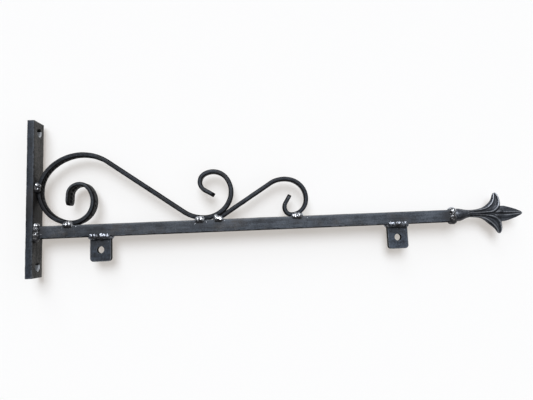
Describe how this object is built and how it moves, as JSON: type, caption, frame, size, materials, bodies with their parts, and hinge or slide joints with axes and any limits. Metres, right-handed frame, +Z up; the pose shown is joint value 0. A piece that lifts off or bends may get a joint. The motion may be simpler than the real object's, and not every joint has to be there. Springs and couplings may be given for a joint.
{
  "type": "hanging sign bracket",
  "caption": "Wall bracket for a hanging sign: square steel arm on a drilled plate, scrolled flat-bar brace, drilled sign lugs and a forged leaf-shaped finial, with bright weld beads.",
  "frame": {"origin": "the middle of the wall plate's back face, midway between its screw holes", "axes": "+X out from the wall along the arm, +Y along the wall, +Z up; the picture looks along +Y"},
  "size_m": [0.6375, 0.0255, 0.2],
  "materials": {
    "black_steel": "dull blue-grey mill scale, lightly worn along its edges",
    "finial_steel": "dark, smooth and slightly glossy, worn bright on its raised rims",
    "weld_metal": "bright, lumpy, as welded"
  },
  "bodies": {
    "root": {"wall_plate": "black_steel", "arm_bar": "black_steel", "long_scroll": "black_steel", "short_scroll": "black_steel", "inner_lug": "black_steel", "outer_lug": "black_steel", "finial": "finial_steel", "plate_scroll_weld_front": "weld_metal", "plate_scroll_weld_back": "weld_metal", "arm_weld_front": "weld_metal", "arm_weld_back": "weld_metal", "big_curl_weld_front": "weld_metal", "big_curl_weld_back": "weld_metal", "mid_curl_weld_front": "weld_metal", "mid_curl_weld_back": "weld_metal", "foot_weld_front": "weld_metal", "foot_weld_back": "weld_metal", "end_curl_weld_front": "weld_metal", "end_curl_weld_back": "weld_metal", "inner_lug_weld": "weld_metal", "outer_lug_weld": "weld_metal", "finial_weld_front": "weld_metal", "finial_weld_back": "weld_metal"}
  },
  "joints": []
}
